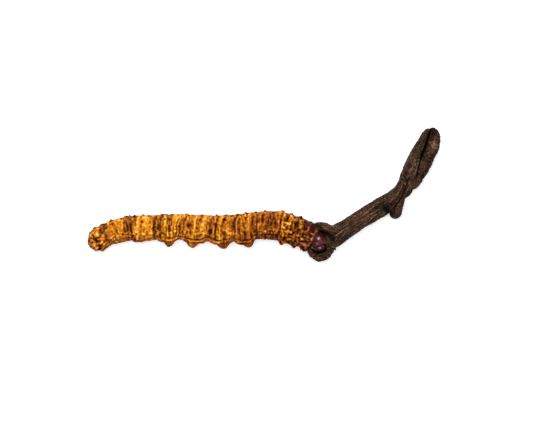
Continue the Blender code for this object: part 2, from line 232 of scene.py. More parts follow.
# Dark warts, on both sides: place along the body, degrees from the back, radius, height, darkness
WARTS = (
    (4.75, 44, 0.2, 0.06, 1), (5.2, 92, 0.17, 0.05, 0.8), (4.3, 118, 0.13, 0.04, 0.7),
    (9.7, 59, 0.2, 0.06, 1), (9.8, 99, 0.17, 0.04, 0.75), (10.1, 124, 0.16, 0.04, 0.5),
    (14.45, 54, 0.2, 0.06, 1), (14.5, 98, 0.2, 0.05, 1), (19.7, 49, 0.19, 0.06, 0.95),
    (19.3, 88, 0.24, 0.03, 0.6), (19.8, 130, 0.15, 0.04, 0.6), (17.9, 79, 0.34, 0.05, 0.9),
    (18.2, 92, 0.3, 0, 0.4), (24, 46, 0.22, 0.06, 0.95), (23.9, 106, 0.25, 0.02, 0.5),
    (22.4, 72, 0.25, 0.03, 0.9), (21.55, 98, 0.25, -0.1, 0.9), (21.4, 106, 0.24, -0.08, 1),
    (30.8, 43, 0.22, 0.07, 1), (30.7, 64, 0.25, 0.03, 0.65), (29.9, 72, 0.18, 0.02, 0.8),
    (31.1, 90, 0.16, -0.05, 0.9), (26.6, 84, 0.3, -0.03, 0.35), (26.6, 95, 0.3, -0.03, 0.35),
    (3, 60, 0.16, 0.05, 0.7), (2.2, 85, 0.14, 0.05, 0.7), (1.45, 140, 0.2, -0.2, 1),
    (12.3, 96, 0.17, -0.05, 0.9), (16.2, 84, 0.15, -0.04, 0.8), (36, 62, 0.3, 0, 0.7),
)
# Knobs of crumpled skin, raised and lit with painted highlight, and hollows, sunk and darkened with
# painted shade, on the near side, most of them behind the head and at the tail: place along the body,
# degrees from the back, half length, half width and height
KNOBS = (
    (34.02, 40, 0.2, 0.75, 1), (34.92, 30, 0.25, 0.75, 1), (34.76, 73, 0.9, 0.26, 1),
    (34.39, 94, 0.45, 0.2, 1), (35.25, 104, 0.52, 0.35, 1), (34.35, 111, 0.28, 0.28, 1),
    (35.53, 47, 0.18, 0.6, 0.7), (36.94, 71, 0.24, 0.85, 1.2), (36.74, 40, 0.2, 0.4, 0.8),
    (37.06, 107, 0.38, 0.28, 1), (37.92, 114, 0.38, 0.28, 1), (37.78, 130, 0.38, 0.28, 0.8),
    (36.11, 90, 0.28, 0.28, 0.6), (38.45, 130, 0.45, 0.28, 0.8), (39.1, 140, 0.45, 0.35, 0.5),
    (33.64, 71, 0.14, 0.5, -1), (36.23, 67, 0.26, 0.75, -1.2), (36.78, 86, 0.2, 0.3, -1),
    (34.53, 50, 0.15, 0.4, -1), (35.84, 112, 0.45, 0.2, -1), (37.41, 68, 0.17, 0.75, -1),
    (37.39, 37, 0.24, 0.4, -1), (34.86, 139, 0.5, 0.2, -0.8), (35.37, 92, 0.35, 0.14, -1),
    (35.62, 39, 0.15, 0.55, -0.6), (38.2, 71, 0.12, 0.4, 0.7), (39, 76, 0.32, 0.11, 0.7),
    (38.9, 89, 0.22, 0.28, -1.2), (38.51, 97, 0.2, 0.3, 0.4), (38.76, 116, 0.3, 0.22, -1),
    (38.8, 32, 0.45, 0.12, -1.2), (0.8, 77, 0.35, 0.35, 0.8), (1.49, 80, 0.28, 0.28, 0.8),
    (1.84, 50, 0.28, 0.28, 0.8), (2.33, 66, 0.38, 0.35, 0.8), (2.2, 92, 0.33, 0.38, 0.9),
    (2.33, 118, 0.33, 0.33, 1), (2.94, 92, 0.28, 0.28, 0.8), (3.06, 61, 0.28, 0.28, 0.8),
    (2.55, 34, 0.28, 0.28, 1), (0.57, 101, 0.3, 0.2, 0.4), (1.75, 122, 0.5, 0.22, -1.6),
    (1.7, 88, 0.22, 0.4, -1.3), (2.15, 106, 0.22, 0.35, -1.2), (3.47, 38, 0.28, 0.28, -0.8),
    (2.65, 53, 0.2, 0.16, -0.8), (1.3, 72, 0.2, 0.3, -0.6), (36.7, 10, 0.22, 0.8, -1.6),
    (25.45, 8, 0.4, 1, -1.6), (11.05, 8, 0.5, 0.9, -1), (13.95, 6, 0.2, 0.6, -1),
    (19.15, 6, 0.2, 0.6, -1), (21.3, 6, 0.25, 0.6, -1), (6.5, 8, 0.3, 1.2, -1),
    (6.9, 50, 0.3, 1.2, -0.5),
)
# Places of the bumps along the line of the back and of the small hooks under the tail, their radii and height
BACK_BUMPS = (
    0.9, 1.45, 2.3, 3.3, 4.6, 7, 8.2, 9.8, 13.1, 14.8, 17.3, 19.9, 22.6, 24.3, 26.6, 28, 29.6, 31.2,
    33.75, 34.9, 36.6,
)
TAIL_HOOKS = (0.75, 1.6, 3)
BACK_BUMP_RADIUS, TAIL_HOOK_RADIUS, BUMP_HEIGHT = 0.34, 0.22, 0.22


def through(knots, values, at):
    """Smooth curve through given values: cubic pieces whose slopes come from each value's neighbours."""
    knots, values = np.asarray(knots, float), np.asarray(values, float)
    slopes = np.gradient(values, knots, axis=0)
    i = np.clip(np.searchsorted(knots, at, side="right") - 1, 0, len(knots) - 2)
    span = knots[i + 1] - knots[i]
    t = (at - knots[i]) / span
    if values.ndim > 1:
        span, t = span[:, None], t[:, None]
    start = values[i] * (1 + 2 * t) + span * slopes[i] * t
    end = values[i + 1] * (3 - 2 * t) - span * slopes[i + 1] * (1 - t)
    return start * (1 - t) ** 2 + end * t**2


def bump(distance):
    """Smooth hump, (1 - d^2)^2: 1 at distance 0, falling to 0 at distance 1 and flat beyond."""
    return np.clip(1 - distance**2, 0, 1) ** 2


def rise(distance):
    """Straight ramp: 0 up to distance 0, even from there, and 1 from distance 1 on."""
    return np.clip(distance, 0, 1)


def at_place(table, place):
    """The value of a table of places and values at a place, on a straight line between its neighbours."""
    return np.interp(place, *np.transpose(table))


def rough(u, v, around, seed):
    """Smooth random height of about -1 to 1: the sum of three lattices of random values, two of them sheared,
    with a smoothstep between neighbours. v comes round again after so many steps."""
    total = 0
    for i, shear in enumerate((0.0, 0.6, -0.6)):
        values = np.random.default_rng([seed, i]).uniform(-1, 1, (512, around))
        across, along = u + 0.37 * i, v + shear * u
        low_u, low_v = np.floor(across).astype(int), np.floor(along).astype(int)
        t, s = across - low_u, along - low_v
        t, s = t * t * (3 - 2 * t), s * s * (3 - 2 * s)
        near, far = low_u % 512, (low_u + 1) % 512
        left, right = low_v % around, (low_v + 1) % around
        total = total + (values[near, left] * (1 - s) + values[near, right] * s) * (1 - t)
        total = total + (values[far, left] * (1 - s) + values[far, right] * s) * t
    return total / 1.73


def softened(field, rows, columns):
    """A field's mean over so many rows and columns to each side; columns run round, rows stop at the ends."""
    padded = np.pad(field, ((rows, rows), (0, 0)), mode="edge")
    summed = sum(padded[i : i + len(field)] for i in range(2 * rows + 1)) / (2 * rows + 1)
    return sum(np.roll(summed, i, axis=1) for i in range(-columns, columns + 1)) / (2 * columns + 1)


def shell(name, grid, tips, marks, material):
    """A closed surface from a grid of points in mm: rows run along the piece, columns turn right-handed round
    that way, and the two tips close the ends. Marks are named values at every point of the grid."""
    rows, columns, _ = grid.shape
    points = (np.vstack([grid.reshape(-1, 3), tips]) - ORIGIN) * METRES
    here = np.arange(rows * columns).reshape(rows, columns)
    beside = np.roll(here, -1, axis=1)
    quads = np.stack([here[:-1], beside[:-1], beside[1:], here[1:]], axis=-1).reshape(-1, 4)
    first_fan = np.stack([np.full(columns, rows * columns), beside[0], here[0]], axis=-1)
    last_fan = np.stack([np.full(columns, rows * columns + 1), here[-1], beside[-1]], axis=-1)
    corners = np.concatenate([quads.ravel(), first_fan.ravel(), last_fan.ravel()])
    starts = np.concatenate([np.arange(len(quads)) * 4, len(quads) * 4 + np.arange(2 * columns) * 3])
    mesh = bpy.data.meshes.new(name)
    mesh.vertices.add(len(points))
    mesh.vertices.foreach_set("co", points.ravel())
    mesh.loops.add(len(corners))
    mesh.loops.foreach_set("vertex_index", corners)
    mesh.polygons.add(len(starts))
    mesh.polygons.foreach_set("loop_start", starts)
    mesh.update(calc_edges=True)
    mesh.shade_smooth()
    mesh.set_sharp_from_angle(angle=math.radians(70))
    for mark, values in marks.items():
        kept = mesh.attributes.new(mark, "FLOAT", "POINT")
        ends = [values[0].mean(), values[-1].mean()]
        kept.data.foreach_set("value", np.concatenate([values.ravel(), ends]))
    mesh.materials.append(material)
    made = bpy.data.objects.new(name, mesh)
    scene.collection.objects.link(made)
    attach(made, "root")
    return made


def leg_reach(x, degrees):
    """How far the legs draw the skin out at x and at degrees from the back, and how near a foot that is."""
    reach, feet = 0 * (x + degrees), 0 * (x + degrees)
    spread = 180 - math.degrees(LEG_SPREAD)
    for foot_x, base_x, height, half_length, half_degrees, share in LEGS:
        base = np.hypot((x - base_x) / half_length, (degrees - spread) / half_degrees)
        foot = np.hypot((x - foot_x) / half_length, (degrees - spread) / half_degrees) / FOOT_SHARE
        drawn = share * np.clip(1 - base**2, 0, 1) ** 0.6 + (1 - share) * np.sqrt(bump(foot))
        reach = np.maximum(reach, height * drawn)
        feet = np.maximum(feet, bump(foot / 1.2))
    return reach, feet


def husk_surface():
    """The husk as a function of x along the middle line and of the angle from the back: the body's radius,
    plus each ring's height, wrinkles, pebbles, creases, knobs, warts and back bumps. Below the belly fold the
    rings give way to legs, drawn out from the belly as a broad base with a narrower foot on it."""
    dome = TAIL_DOME * (1 - np.cos(np.linspace(0.03, np.pi / 2, DOME_ROWS)))
    x = np.concatenate([dome, np.linspace(TAIL_DOME, FRONT_X, SKIN_ROWS)[1:]])[:, None]
    angle = np.arange(SKIN_COLUMNS)[None, :] * 2 * np.pi / SKIN_COLUMNS
    turn = angle / (2 * np.pi) + 0 * x
    from_back = np.degrees(np.pi - np.abs(np.pi - angle)) + 0 * x
    radius = through(BODY_X, BODY_RADIUS, x[:, 0])[:, None]

    def pattern(length, around, seed):
        """Random height with features so many mm long, and so many of them around the body."""
        return rough(x / length, turn * around, around, seed)

    # Zones: the lumpy flank, the crumpled skin at both ends, the lengths with large legs and the brown front
    flank = bump((from_back - FLANK_MIDDLE) / FLANK_HALF_WIDTH)
    front = rise((x - CRUMPLED_X[0]) / 1.5) * rise((CRUMPLED_X[1] - x) / 0.6)
    crumpled = front * np.clip((from_back - 30) / 50, 0.3, 1) + rise((TAIL_CRUMPLE_END - x) / 2)
    legged = sum(bump((x - leg[1]) / leg[3] / 1.15) for leg in LEGS if leg[2] > 1)
    browned = rise((x - BROWN_FROM) / 1.5)

    # The belly fold strays a little, and the belly below it is drawn out by the legs
    wander = pattern(1.3, 11, 1) + 0.5 * pattern(0.6, 25, 2)
    fold_line = at_place(BELLY_FOLD, x) - 2 * legged
    fold_line = fold_line + 3 * wander
    reach, feet = leg_reach(x, from_back)
    fold_reach, _ = leg_reach(x, fold_line)
    fold_fall = radius * (np.cos(np.radians(fold_line)) - np.cos(np.radians(from_back)))
    below = reach - fold_reach + fold_fall  # mm below the belly fold
    belly = rise(below / 0.2 + 0.5)
    fold = bump(below / FOLD_HALF_WIDTH)
    broken = np.clip(0.65 + 0.9 * wander, 0.1, 1.3)  # the belly fold is sharper in some places than in others
    rims = broken * legged * (bump((below - 0.33) / 0.2) - 0.8 * bump((below - 0.62) / 0.16))

    # The rings' traits run evenly from one middle line to the next, on lines that lean and stray
    leaned = at_place(RING_LEAN, x) * np.where(x < LEAN_CHANGE, np.cos(angle) ** 3, np.cos(angle))
    ringed_x = x + RING_WANDER * (1 + browned) * wander - leaned
    rings = sorted((place, traits) for traits, places in RINGS.values() for place in places)
    middle, traits = zip(*rings)
    crest, wrinkled, pebbled, light, streaked = (np.interp(ringed_x, middle, trait) for trait in zip(*traits))
    # Near the back the rings of a dark band run into one, and low on the flank the folds fade
    band_light = softened(light, 5, 0)
    even = (0.2 + 0.5 * rise((62 - from_back) / 25)) * rise((0.6 - band_light) / 0.1)
    light, crest = light + even * (band_light - light), crest + even * (softened(crest, 5, 0) - crest)
    faded = 0.4 * rise((from_back - 85) / 45) * (1 - rise(crumpled))
    crest, light = crest * (1 - faded), light + faded * rise(0.56 - light)
    calm = rise((100 - from_back) / 40) * rise((light - 0.56) / 0.14)  # the smooth wide rings, near the back
    coarse = 1 - 0.5 * calm

    pebbles = pattern(0.46, 30, 3) + 0.6 * pattern(0.25, 56, 4)
    wrinkles = pattern(0.16, 10, 5) + 0.6 * pattern(0.11, 26, 6)
    lumps, sag, grit = pattern(0.55, 44, 13), pattern(2.2, 7, 7), pattern(0.15, 84, 16)
    strokes = np.clip(pattern(0.14, 34, 17) ** 3, -1.5, 1.5)
    bent_x, bent_turn = x / 0.55 + 0.8 * wander, turn * 24 + 0.8 * pattern(0.7, 20, 10)
    creases = np.exp(-((rough(bent_x, bent_turn, 24, 11) / 0.11) ** 2))
    rough_skin = 0.15 + 0.6 * flank + 0.8 * crumpled + 0.4 * belly
    relief = (1 - 0.7 * belly) * (crest + wrinkled * wrinkles) + pebbled * pebbles + SAG * sag
    relief += rough_skin * (PEBBLE * pebbles - CREASE * creases) + flank * (0.06 + 0.09 * lumps)
    relief += RIM * rims - RIM * np.sqrt(broken) * fold + (GRIT * grit + STROKE * strokes) * coarse
    relief += 0.07 * belly * browned * pebbles

    knobs = np.zeros_like(relief)
    for knob_x, degrees, half_length, half_width, height in KNOBS:
        away = np.hypot((x - knob_x) / half_length, radius * np.radians(from_back - degrees) / half_width)
        knobs += height * bump(away / 1.5)
    knobs *= angle < np.pi  # the near side
    at_tail = x < TAIL_KNOBS_END
    relief += np.where(at_tail, TAIL_KNOB, KNOB) * knobs

    spots = np.zeros_like(relief)
    for wart_x, degrees, size, height, darkness in WARTS:
        away = np.hypot(x - wart_x, radius * np.radians(from_back - degrees)) / size
        relief = relief + height * bump(away / 1.8)
        spots = np.maximum(spots, darkness * bump(away / 2.2))
    for i, bump_x in enumerate(BACK_BUMPS):
        away = np.hypot(x - bump_x, radius * np.radians(from_back - 5 - 5 * (i % 2))) / BACK_BUMP_RADIUS
        relief = relief + BUMP_HEIGHT * np.sqrt(bump(away))
        spots = np.maximum(spots, 0.8 * bump(away / 1.2))
    for hook_x in TAIL_HOOKS:
        away = np.hypot(x - hook_x, radius * (angle - np.pi)) / TAIL_HOOK_RADIUS
        relief = relief + BUMP_HEIGHT * bump(away)
        spots = np.maximum(spots, bump(away))

    # The relief stands on the radius, square to the middle line; both ends are drawn in as domes
    y = through(BODY_X, BODY_Y, x[:, 0])
    depth = radius * BODY_DEPTH_SHARE
    centres = np.stack([x[:, 0], y, depth[:, 0] - PRESSED], axis=1)
    heading = np.gradient(centres, x[:, 0], axis=0) * [1, 1, 0]
    heading /= np.linalg.norm(heading, axis=1)[:, None]
    back = np.cross([0.0, 0.0, 1.0], heading)
    swell = np.sqrt(1 - (1 - np.minimum(x / TAIL_DOME, 1)) ** 2)
    swell *= np.sqrt(1 - 0.8 * rise((x - FRONT_X + NAPE_DOME) / NAPE_DOME) ** 2)
    grid = centres[:, None] + (swell * ((radius + relief) * np.cos(angle) - reach))[..., None] * back[:, None]
    grid[..., 2] += swell * (depth + relief) * np.sin(angle)
    grid[..., 2] = np.maximum(grid[..., 2], 0)

    # How pale the skin is, from 0 to 1: each ring's own tone, with warts, and painted shade and highlight
    # Painted shade in the hollows and painted highlight on the crests: the relief against its local mean
    hollow = np.clip((relief - softened(relief, 5, 4)) / 0.07, -1, 1)
    low = rise((3.3 - grid[..., 2]) / 1.5)  # painted shade: darker low down the sides, towards the floor
    patches = pattern(1.1, 13, 8) + 0.7 * pattern(0.45, 30, 9)
    patches *= 1 - 0.5 * np.maximum(calm, belly)
    banded = light + streaked * wrinkles + flank * (0.04 + 0.16 * lumps) - 0.06 * crumpled
    # The knobs' painted highlight and their hollows' painted shade
    banded += np.where(at_tail, 0.12, 0.27) * knobs
    pale = (1 - belly) * banded + belly * (0.38 + 0.26 * light - 0.14 * browned + 0.26 * rims - 0.18 * feet)
    # Painted shade in the hollows and the creases, and painted highlight on the crests
    pale += 0.22 * hollow + 0.12 * patches + crumpled * 0.1 * pebbles - 0.25 * rough_skin * creases
    pale += (0.09 * grit + 0.12 * strokes) * coarse + belly * (0.04 + 0.06 * browned) * pebbles
    # Painted shade along the belly fold's crease and low down the sides; the spots are the warts' own dark
    # colour
    pale -= broken * (0.14 + 0.14 * legged) * fold + 0.12 * low + 0.6 * spots
    # Painted light: the back, which faces the lamp over it, is lighter
    pale += 0.11 * bump((from_back - 32) / 30) + 0.03 * rise((3 - x) / 0.8)
    # Painted shade: the low flank is darker, by an amount given along the body
    low_flank = rise((from_back - 100) / 25) * (1 - 0.55 * belly) * (1 - rise(2 * feet))
    pale -= at_place(FLANK_SHADE, x) * low_flank
    bruised = through(*np.transpose(BRUISING), x[:, 0])
    bruised = bruised[:, None] + 0.4 * patches + 0.4 * belly - 0.3 * crumpled * (x > 20) + 0.5 * spots

    # The dark plates on the ring behind the head, parted by pale seams, with a stain behind them
    seams = sum(bump((from_back - degrees - 3 * wander) / SEAM_HALF_WIDTH) for degrees in PLATE_SEAMS)
    upper = rise((PLATE_END - from_back) / 10)
    plate = np.clip(1 - np.abs(ringed_x - PLATE_X) / PLATE_HALF_LENGTH, 0, 0.33) * 3 * upper
    plate = plate * (1 - rise(seams)) * (np.clip(0.85 + 0.6 * pebbles, 0.3, 1) * (1 - rise(knobs)))
    plate = np.maximum(plate, 0.35 * bump((ringed_x - STAIN_X) / 0.3) * upper * (light < 0.4))
    pale = pale + bump((ringed_x - PLATE_X) / 0.6) * (0.14 + 0.12 * pebbles) * rise(seams)
    marks = {
        "pale": softened(rise(pale), 1, 0),
        "bruised": rise(bruised),
        "plate": softened(plate, 1, 1),
        "chalky": np.clip((ringed_x - CHALKY_FROM) / 3, 0.1, 0.8) + 0 * plate,
    }
    return grid, [centres[0] - [x[0, 0], 0, 0], centres[-1]], marks


# Dried larval skin is thin, hard and waxy: dull in the folds, with a soft sheen where the rings stretched it.
# Its own fat and the fungus leave it golden, russet where it is bruised and umber and chalky near the head,
# with plates of dark red chitin on the first ring.
GOLDEN = ((0, "220D02"), (0.2, "552A07"), (0.4, "864908"), (0.6, "B2670A"), (0.8, "DA8E12"), (1, "F8C650"))
RUSSET = ((0, "1C0903"), (0.2, "471F07"), (0.4, "733808"), (0.6, "9E5209"), (0.8, "C87410"), (1, "EAA63C"))
UMBER = ((0, "180705"), (0.2, "421B10"), (0.4, "6C3720"), (0.6, "96572F"), (0.8, "BC8048"), (1, "DFB488"))
DARK_PLATE = "300B0D"
dried_skin, tree, out = new_material("dried_larva_skin")
place = add(tree, "TexCoord").outputs["Object"]
# pale carries the skin's own tone together with painted shade and painted highlight
pale, bruised, plate, chalky = (
    add(tree, "Attribute", attribute_name=mark).outputs["Fac"]
    for mark in ("pale", "bruised", "plate", "chalky")
)
MOTTLE, GRAIN = 0.6, 0.12  # mm across the skin's stains and its grain; real grain is too fine to show
stains = add(
    tree, "TexNoise", {"Scale": 1 / (MOTTLE * METRES), "Detail": 4, "Roughness": 0.75}, {"Vector": place},
)
stained = add(
    tree, "MapRange", {"From Min": 0.3, "From Max": 0.7, "To Min": -0.18, "To Max": 0.18},
    {"Value": stains.outputs["Fac"]},
)
shade = add(tree, "Math", wires={0: pale, 1: stained.outputs["Result"]}, operation="ADD", use_clamp=True)
golden, russet, umber = (
    add(tree, "ValToRGB", wires={"Fac": shade.outputs[0]}, stops=stops).outputs["Color"]
    for stops in (GOLDEN, RUSSET, UMBER)
)
skin = add(tree, "Mix", wires={"Factor": bruised, "A": golden, "B": russet}, data_type="RGBA")
front_skin = add(
    tree, "Mix", wires={"Factor": chalky, "A": skin.outputs["Result"], "B": umber}, data_type="RGBA",
)
plated = add(
    tree, "Mix", {"B": linear(DARK_PLATE)}, {"Factor": plate, "A": front_skin.outputs["Result"]},
    data_type="RGBA",
)
sheen_map = add(tree, "MapRange", {"To Min": 0.7, "To Max": 0.48}, {"Value": shade.outputs[0]})
grain = add(tree, "TexNoise", {"Scale": 1 / (GRAIN * METRES)}, {"Vector": place})
raised = add(tree, "Bump", {"Strength": 0.35, "Distance": 0.04 * METRES}, {"Height": grain.outputs["Fac"]})
surface = add(
    tree, "BsdfPrincipled", {"IOR": 1.5, "Specular IOR Level": 0.04},
    {
        "Base Color": plated.outputs["Result"], "Roughness": sheen_map.outputs["Result"],
        "Normal": raised.outputs[0],
    },
)
tree.links.new(surface.outputs[0], out.inputs["Surface"])

larva_husk = shell("larva_husk", *husk_surface(), dried_skin)
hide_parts("larva_body")


# The bristles on the back.
# A little tuft of the larva's own stiff hairs is left in a fold near the tail. They are brittle dark chitin,
# each a tapering spike that still stands in its socket.
TUFT_X = (6.95, 7.6)  # where the tuft stands, in mm from the tail
BRISTLES, BRISTLE_LENGTH, BRISTLE_RADIUS, ROOT_DEPTH = 14, 0.55, 0.05, 0.2

# Bristle is hard chitin, nearly black with browner places and a slight gloss.
dark_bristle, tree, out = new_material("dark_bristle")
BANDING = 0.2  # mm along a bristle from one shade of brown to the next
place = add(tree, "TexCoord").outputs["Object"]
tint = add(tree, "TexNoise", {"Scale": 1 / (BANDING * METRES)}, {"Vector": place})
brown = add(tree, "ValToRGB", wires={"Fac": tint.outputs["Fac"]}, stops=((0.3, "160A03"), (0.7, "42240C")))
raised = add(tree, "Bump", {"Strength": 0.2, "Distance": 0.01 * METRES}, {"Height": tint.outputs["Fac"]})
surface = add(
    tree, "BsdfPrincipled", {"Roughness": 0.45, "Specular IOR Level": 0.3},
    {"Base Color": brown.outputs["Color"], "Normal": raised.outputs[0]},
)
tree.links.new(surface.outputs[0], out.inputs["Surface"])


def bristle_tuft():
    """Spikes as a function of the height up each one and the angle round it: radius times one minus the
    height, on a foot set in the skin and a heading fanned out around the back's own direction."""
    pick = np.random.default_rng(41)
    foot_x = pick.uniform(*TUFT_X, BRISTLES)
    lean, tilt = pick.uniform(-0.5, 0.5, BRISTLES), pick.uniform(-0.1, 0.9, BRISTLES)
    heading = np.stack([np.sin(lean), np.cos(lean) * np.cos(tilt), np.cos(lean) * np.sin(tilt)], axis=-1)
    radius = through(BODY_X, BODY_RADIUS, foot_x)
    foot = np.stack([foot_x, through(BODY_X, BODY_Y, foot_x), radius * BODY_DEPTH_SHARE - PRESSED], axis=-1)
    foot += (radius - ROOT_DEPTH)[:, None] * np.stack([0 * tilt, np.cos(tilt), np.sin(tilt)], axis=-1)
    up = np.array([0.0, 0.35, 0.7, 1.0])[None, :, None, None]
    round_it = (np.arange(5) * 2 * np.pi / 5)[None, None, :, None]
    across = np.cross(heading, [1.0, 0.3, 0.2])
    across /= np.linalg.norm(across, axis=1)[:, None]
    beside = np.cross(heading, across)
    length = (BRISTLE_LENGTH * pick.uniform(0.7, 1.1, BRISTLES))[:, None, None, None] + ROOT_DEPTH
    across, beside, heading, foot = (a[:, None, None, :] for a in (across, beside, heading, foot))
    ring = np.cos(round_it) * across + np.sin(round_it) * beside
    return foot + up * length * heading + BRISTLE_RADIUS * (1.02 - up) * ring


tuft = bristle_tuft()
spikes, levels, sides, _ = tuft.shape
here = np.arange(spikes * levels * sides).reshape(spikes, levels, sides)
beside = np.roll(here, -1, axis=2)
quads = np.stack([here[:, :-1], beside[:, :-1], beside[:, 1:], here[:, 1:]], axis=-1).reshape(-1, 4)
tuft_mesh = bpy.data.meshes.new("bristle_tuft")
soles, tips = here[:, 0, ::-1].tolist(), here[:, -1].tolist()
tuft_mesh.from_pydata((tuft.reshape(-1, 3) - ORIGIN) * METRES, [], quads.tolist() + soles + tips)
tuft_mesh.shade_smooth()
tuft_mesh.materials.append(dark_bristle)
bristles = bpy.data.objects.new("bristle_tuft", tuft_mesh)
scene.collection.objects.link(bristles)
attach(bristles, "root")


# The head capsule.
# The larva's own head shell, hard chitin of two domed halves with a groove between them. It shrank a little
# as it dried, stays glossy and sits between the first ring and the fungus that grips it.
HEAD_CENTRE = np.array([40.48, -2.44, 2.66])
HEAD_RADII = (1.7, 1.92, 1.68)
HEAD_LEAN = math.radians(-18)
# The groove's slope, depth and half width, all as shares of the radii
GROOVE_SLANT, GROOVE_DEPTH, GROOVE_HALF_WIDTH = 0.05, 0.14, 0.17
HEAD_ROWS, HEAD_COLUMNS = 150, 200
CROWN, CROWN_RADIUS = (40.4, -2.2), 2.4  # painted glow: the shell is redder around here, about its upper highlight
RIM_HEIGHT = 3.8  # below this height the shell is darker: painted shade towards the floor


def egg(centre, radii, lean, relief, rows, columns):
    """An egg-shaped ball as a function of the angle down its long way and the angle round it: its radii times
    one plus a relief that is itself a function of both angles, then leaned over in the XY plane."""
    down = np.linspace(0, np.pi, rows + 2)[1:-1, None]
    round_it = np.arange(columns)[None, :] * 2 * np.pi / columns
    across = np.sin(down)
    unit = [across * np.cos(round_it), np.cos(down) + 0 * round_it, across * np.sin(round_it)]
    unit = np.stack(unit, axis=-1)
    height = relief(down + 0 * round_it, round_it + 0 * down, unit)
    turn = np.array([[math.cos(lean), math.sin(lean), 0], [-math.sin(lean), math.cos(lean), 0], [0, 0, 1]])
    grid = (unit * radii * (1 + height[..., None])) @ turn + centre
    reach = radii[1] * (1 + height[[0, -1]].mean(axis=1))
    ends = np.array([[0, reach[0], 0], [0, -reach[1], 0]]) @ turn
    return grid, ends + centre, height


def head_relief(down, round_it, unit):
    """Two domes with a narrow groove between them and faint dimples, as shares of the radius."""
    away = np.abs(unit[..., 1] + GROOVE_SLANT * unit[..., 0])
    groove = -GROOVE_DEPTH * rise(1 - away / GROOVE_HALF_WIDTH)
    dimples = 0.006 * rough(down * 3, round_it / (2 * np.pi) * 8, 8, 21)
    fine = 0.003 * rough(down * 9, round_it / (2 * np.pi) * 24, 24, 22)
    return groove + dimples + fine


# Chitin is a hard natural plastic, dark red to nearly black. A painted glow makes it redder around its
# highlights, and painted shade darker low down. It grew smooth as glass, so it mirrors the lamps sharply,
# with fine dents from wear.
head_chitin, tree, out = new_material("head_chitin")
place = add(tree, "TexCoord").outputs["Object"]
CLOUDS, DENTS = 0.9, 0.22  # mm across the shell's darker clouds and the fine dents of its wear
tint = add(tree, "TexNoise", {"Scale": 1 / (CLOUDS * METRES)}, {"Vector": place})
# Painted glow around the highlights and painted shade low down, read from the mesh
painted_glow_and_shade = add(tree, "Attribute", attribute_name="painted_glow_and_shade").outputs["Fac"]
clouded = add(tree, "Math", wires={0: tint.outputs["Fac"], 1: painted_glow_and_shade}, operation="ADD")
red = add(
    tree, "ValToRGB", wires={"Fac": clouded.outputs[0]},
    stops=((0.36, "0E0203"), (0.52, "310A0B"), (0.68, "501A1B")),
)
dents = add(tree, "TexNoise", {"Scale": 1 / (DENTS * METRES), "Detail": 3}, {"Vector": place})
polish = add(
    tree, "MapRange", {"From Min": 0.3, "From Max": 0.75, "To Min": 0.17, "To Max": 0.29},
    {"Value": dents.outputs["Fac"]},
)
raised = add(tree, "Bump", {"Strength": 0.12, "Distance": 0.02 * METRES}, {"Height": dents.outputs["Fac"]})
surface = add(
    tree, "BsdfPrincipled", {"IOR": 1.5, "Specular IOR Level": 0.4},
    {"Base Color": red.outputs["Color"], "Roughness": polish.outputs["Result"], "Normal": raised.outputs[0]},
)
tree.links.new(surface.outputs[0], out.inputs["Surface"])

grid, ends, _ = egg(HEAD_CENTRE, HEAD_RADII, HEAD_LEAN, head_relief, HEAD_ROWS, HEAD_COLUMNS)
# Painted light: a redder glow around the upper highlight, and shade low down towards the floor
crown = bump(np.linalg.norm(grid[..., :2] - CROWN, axis=-1) / CROWN_RADIUS)
rim = rise((RIM_HEIGHT - grid[..., 2]) / 0.9)
head = shell("head_shell", grid, ends, {"painted_glow_and_shade": 0.22 * crown - 0.08 - 0.14 * rim}, head_chitin)
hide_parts("head_capsule")


# The stroma's stalk, stub and club.
# The fungus's own body, as hard as a dried twig: it is fluted and wrinkled along its length. The left strand
# runs from the collar through the neck into the club's left lobe, and the right one from the stub upwards.
LEFT_STRAND = (
    (38.9, -1.4, 1.3, 1.5, 1.1), (40.2, -1.7, 1.4, 2, 1.2), (41.3, -1.95, 1.85, 2.05, 1.55),
    (42.3, -1.8, 2.15, 1.85, 1.7), (43.25, -1.35, 2.2, 1.82, 1.65), (44.3, -0.62, 2.3, 1.72, 1.6),
    (45.5, 0.12, 2.4, 1.65, 1.55), (47.95, 1.72, 2.45, 1.62, 1.55), (49.9, 2.93, 2.35, 1.68, 1.55),
    (51.6, 3.95, 2.2, 1.68, 1.5), (52.7, 4.62, 2.1, 1.62, 1.45), (53.6, 5.26, 2, 1.5, 1.4),
    (54.42, 6.05, 1.85, 1.38, 1.35), (55.08, 7, 1.7, 1.22, 1.37), (55.65, 8.1, 1.58, 1.2, 1.45),
    (56.12, 9.4, 1.5, 1.24, 1.52), (56.68, 10.9, 1.45, 1.24, 1.57), (57.55, 13, 1.43, 1.07, 1.55),
    (58.28, 14.6, 1.4, 0.9, 1.45), (59.15, 16.2, 1.4, 0.66, 1.2), (59.85, 17.55, 1.4, 0.42, 0.85),
)
STUB = (
    (53.83, 1.7, 1.95, 1.1, 0.85), (53.86, 2.4, 2, 1.12, 0.95), (54.05, 3.6, 2.05, 1.1, 1.1),
    (54.48, 4.7, 2.05, 0.94, 1.15), (54.95, 5.7, 1.95, 0.8, 1.15), (55.75, 6.7, 1.8, 1.1, 1.2),
    (56.4, 7.8, 1.65, 0.85, 1.15), (56.9, 9, 1.5, 0.5, 1),
)
RIGHT_LOBE = (
    (56.75, 6.95, 1.65, 0.6, 0.9), (57.35, 7.9, 1.6, 0.82, 1.15), (58.15, 9.4, 1.52, 0.99, 1.45),
    (58.9, 10.9, 1.48, 1.14, 1.6), (59.72, 13, 1.45, 1.25, 1.62), (60.42, 14.6, 1.43, 1.33, 1.5),
    (60.72, 16.2, 1.4, 1.12, 1.25), (60.32, 17.75, 1.4, 0.6, 0.85),
)
